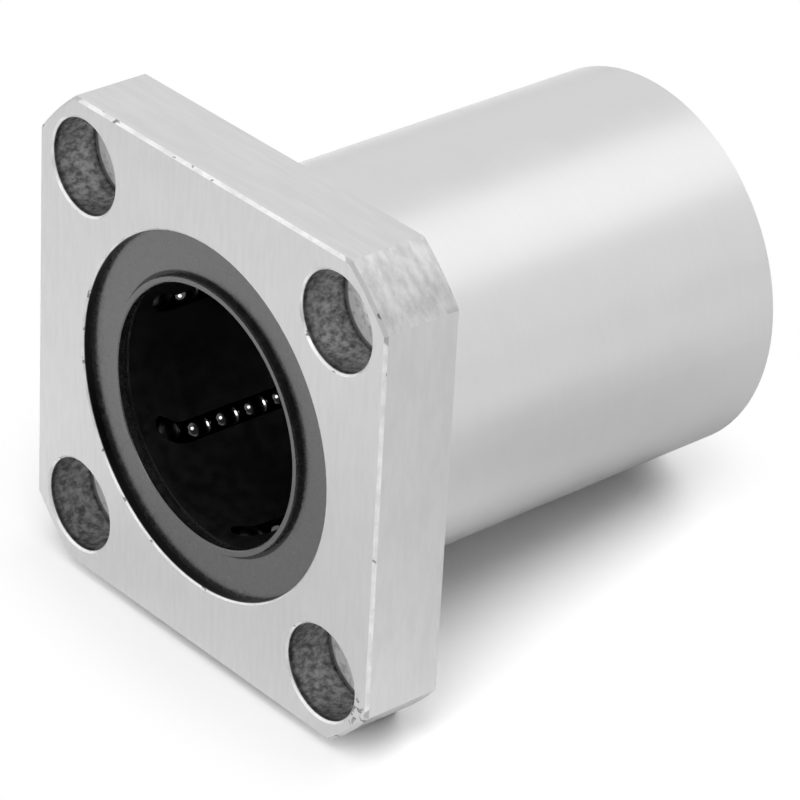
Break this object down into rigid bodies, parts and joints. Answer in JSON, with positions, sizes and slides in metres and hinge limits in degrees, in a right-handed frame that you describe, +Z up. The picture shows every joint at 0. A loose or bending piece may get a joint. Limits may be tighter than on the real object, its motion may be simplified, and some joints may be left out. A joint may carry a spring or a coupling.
{
  "type": "flanged linear bearing",
  "caption": "Flanged linear ball bearing with a square cut flange, counterbored corner holes, a plain barrel and sealed ends, for a round shaft.",
  "frame": {"origin": "where the shaft axis crosses the flange's seating face", "axes": "+Y along the shaft axis towards the barrel's free end, +Z up and +X to the right seen from the flange's front, both square to the flange's flats"},
  "size_m": [0.058, 0.064, 0.058],
  "materials": {
    "sleeve_steel": "ground satin",
    "retainer_resin": "moulded",
    "seal_rubber": "moulded matt",
    "ring_steel": "spring steel, oiled",
    "ball_steel": "polished"
  },
  "bodies": {
    "bearing_shell": {"flanged_sleeve": "sleeve_steel", "ball_retainer": "retainer_resin", "front_seal": "seal_rubber", "rear_seal": "seal_rubber", "front_retaining_ring": "ring_steel", "rear_retaining_ring": "ring_steel"},
    "load_row_1_balls": {"load_row_1": "ball_steel"},
    "return_row_1_balls": {"return_row_1": "ball_steel"},
    "front_turn_1_balls": {"front_turn_1": "ball_steel"},
    "rear_turn_1_balls": {"rear_turn_1": "ball_steel"},
    "load_row_2_balls": {"load_row_2": "ball_steel"},
    "return_row_2_balls": {"return_row_2": "ball_steel"},
    "front_turn_2_balls": {"front_turn_2": "ball_steel"},
    "rear_turn_2_balls": {"rear_turn_2": "ball_steel"},
    "load_row_3_balls": {"load_row_3": "ball_steel"},
    "return_row_3_balls": {"return_row_3": "ball_steel"},
    "front_turn_3_balls": {"front_turn_3": "ball_steel"},
    "rear_turn_3_balls": {"rear_turn_3": "ball_steel"},
    "load_row_4_balls": {"load_row_4": "ball_steel"},
    "return_row_4_balls": {"return_row_4": "ball_steel"},
    "front_turn_4_balls": {"front_turn_4": "ball_steel"},
    "rear_turn_4_balls": {"rear_turn_4": "ball_steel"},
    "load_row_5_balls": {"load_row_5": "ball_steel"},
    "return_row_5_balls": {"return_row_5": "ball_steel"},
    "front_turn_5_balls": {"front_turn_5": "ball_steel"},
    "rear_turn_5_balls": {"rear_turn_5": "ball_steel"},
    "load_row_6_balls": {"load_row_6": "ball_steel"},
    "return_row_6_balls": {"return_row_6": "ball_steel"},
    "front_turn_6_balls": {"front_turn_6": "ball_steel"},
    "rear_turn_6_balls": {"rear_turn_6": "ball_steel"}
  },
  "joints": [
    {"name": "load_row_1_travel", "type": "slide", "parent": "bearing_shell", "child": "load_row_1_balls", "axis": [0, 1, 0], "range_m": [-0.002, 0.002]},
    {"name": "return_row_1_travel", "type": "slide", "parent": "bearing_shell", "child": "return_row_1_balls", "axis": [0, 1, 0], "range_m": [-0.002, 0.002]},
    {"name": "front_turn_1_roll", "type": "hinge", "parent": "bearing_shell", "child": "front_turn_1_balls", "pos_m": [0.01506, -0.00218, 0.00886], "axis": [0.7091, 0, 0.7051], "range_deg": [-45, 45]},
    {"name": "rear_turn_1_roll", "type": "hinge", "parent": "bearing_shell", "child": "rear_turn_1_balls", "pos_m": [0.01506, 0.04618, 0.00886], "axis": [0.7091, 0, 0.7051], "range_deg": [-45, 45]},
    {"name": "load_row_2_travel", "type": "slide", "parent": "bearing_shell", "child": "load_row_2_balls", "axis": [0, 1, 0], "range_m": [-0.002, 0.002]},
    {"name": "return_row_2_travel", "type": "slide", "parent": "bearing_shell", "child": "return_row_2_balls", "axis": [0, 1, 0], "range_m": [-0.002, 0.002]},
    {"name": "front_turn_2_roll", "type": "hinge", "parent": "bearing_shell", "child": "front_turn_2_balls", "pos_m": [-0.00015, -0.00218, 0.01747], "axis": [-0.2561, 0, 0.9667], "range_deg": [-45, 45]},
    {"name": "rear_turn_2_roll", "type": "hinge", "parent": "bearing_shell", "child": "rear_turn_2_balls", "pos_m": [-0.00015, 0.04618, 0.01747], "axis": [-0.2561, 0, 0.9667], "range_deg": [-45, 45]},
    {"name": "load_row_3_travel", "type": "slide", "parent": "bearing_shell", "child": "load_row_3_balls", "axis": [0, 1, 0], "range_m": [-0.002, 0.002]},
    {"name": "return_row_3_travel", "type": "slide", "parent": "bearing_shell", "child": "return_row_3_balls", "axis": [0, 1, 0], "range_m": [-0.002, 0.002]},
    {"name": "front_turn_3_roll", "type": "hinge", "parent": "bearing_shell", "child": "front_turn_3_balls", "pos_m": [-0.0152, -0.00218, 0.00861], "axis": [-0.9652, 0, 0.2615], "range_deg": [-45, 45]},
    {"name": "rear_turn_3_roll", "type": "hinge", "parent": "bearing_shell", "child": "rear_turn_3_balls", "pos_m": [-0.0152, 0.04618, 0.00861], "axis": [-0.9652, 0, 0.2615], "range_deg": [-45, 45]},
    {"name": "load_row_4_travel", "type": "slide", "parent": "bearing_shell", "child": "load_row_4_balls", "axis": [0, 1, 0], "range_m": [-0.002, 0.002]},
    {"name": "return_row_4_travel", "type": "slide", "parent": "bearing_shell", "child": "return_row_4_balls", "axis": [0, 1, 0], "range_m": [-0.002, 0.002]},
    {"name": "front_turn_4_roll", "type": "hinge", "parent": "bearing_shell", "child": "front_turn_4_balls", "pos_m": [-0.01506, -0.00218, -0.00886], "axis": [-0.7091, 0, -0.7051], "range_deg": [-45, 45]},
    {"name": "rear_turn_4_roll", "type": "hinge", "parent": "bearing_shell", "child": "rear_turn_4_balls", "pos_m": [-0.01506, 0.04618, -0.00886], "axis": [-0.7091, 0, -0.7051], "range_deg": [-45, 45]},
    {"name": "load_row_5_travel", "type": "slide", "parent": "bearing_shell", "child": "load_row_5_balls", "axis": [0, 1, 0], "range_m": [-0.002, 0.002]},
    {"name": "return_row_5_travel", "type": "slide", "parent": "bearing_shell", "child": "return_row_5_balls", "axis": [0, 1, 0], "range_m": [-0.002, 0.002]},
    {"name": "front_turn_5_roll", "type": "hinge", "parent": "bearing_shell", "child": "front_turn_5_balls", "pos_m": [0.00015, -0.00218, -0.01747], "axis": [0.2561, 0, -0.9667], "range_deg": [-45, 45]},
    {"name": "rear_turn_5_roll", "type": "hinge", "parent": "bearing_shell", "child": "rear_turn_5_balls", "pos_m": [0.00015, 0.04618, -0.01747], "axis": [0.2561, 0, -0.9667], "range_deg": [-45, 45]},
    {"name": "load_row_6_travel", "type": "slide", "parent": "bearing_shell", "child": "load_row_6_balls", "axis": [0, 1, 0], "range_m": [-0.002, 0.002]},
    {"name": "return_row_6_travel", "type": "slide", "parent": "bearing_shell", "child": "return_row_6_balls", "axis": [0, 1, 0], "range_m": [-0.002, 0.002]},
    {"name": "front_turn_6_roll", "type": "hinge", "parent": "bearing_shell", "child": "front_turn_6_balls", "pos_m": [0.0152, -0.00218, -0.00861], "axis": [0.9652, 0, -0.2615], "range_deg": [-45, 45]},
    {"name": "rear_turn_6_roll", "type": "hinge", "parent": "bearing_shell", "child": "rear_turn_6_balls", "pos_m": [0.0152, 0.04618, -0.00861], "axis": [0.9652, 0, -0.2615], "range_deg": [-45, 45]}
  ],
  "couplings": [
    {"joint": "return_row_1_travel", "follows": "load_row_1_travel", "ratio": -1},
    {"joint": "front_turn_1_roll", "follows": "load_row_1_travel", "rad_per_m": -389.78},
    {"joint": "rear_turn_1_roll", "follows": "load_row_1_travel", "rad_per_m": -389.78},
    {"joint": "return_row_2_travel", "follows": "load_row_2_travel", "ratio": -1},
    {"joint": "front_turn_2_roll", "follows": "load_row_2_travel", "rad_per_m": -389.78},
    {"joint": "rear_turn_2_roll", "follows": "load_row_2_travel", "rad_per_m": -389.78},
    {"joint": "return_row_3_travel", "follows": "load_row_3_travel", "ratio": -1},
    {"joint": "front_turn_3_roll", "follows": "load_row_3_travel", "rad_per_m": -389.78},
    {"joint": "rear_turn_3_roll", "follows": "load_row_3_travel", "rad_per_m": -389.78},
    {"joint": "return_row_4_travel", "follows": "load_row_4_travel", "ratio": -1},
    {"joint": "front_turn_4_roll", "follows": "load_row_4_travel", "rad_per_m": -389.78},
    {"joint": "rear_turn_4_roll", "follows": "load_row_4_travel", "rad_per_m": -389.78},
    {"joint": "return_row_5_travel", "follows": "load_row_5_travel", "ratio": -1},
    {"joint": "front_turn_5_roll", "follows": "load_row_5_travel", "rad_per_m": -389.78},
    {"joint": "rear_turn_5_roll", "follows": "load_row_5_travel", "rad_per_m": -389.78},
    {"joint": "return_row_6_travel", "follows": "load_row_6_travel", "ratio": -1},
    {"joint": "front_turn_6_roll", "follows": "load_row_6_travel", "rad_per_m": -389.78},
    {"joint": "rear_turn_6_roll", "follows": "load_row_6_travel", "rad_per_m": -389.78}
  ]
}
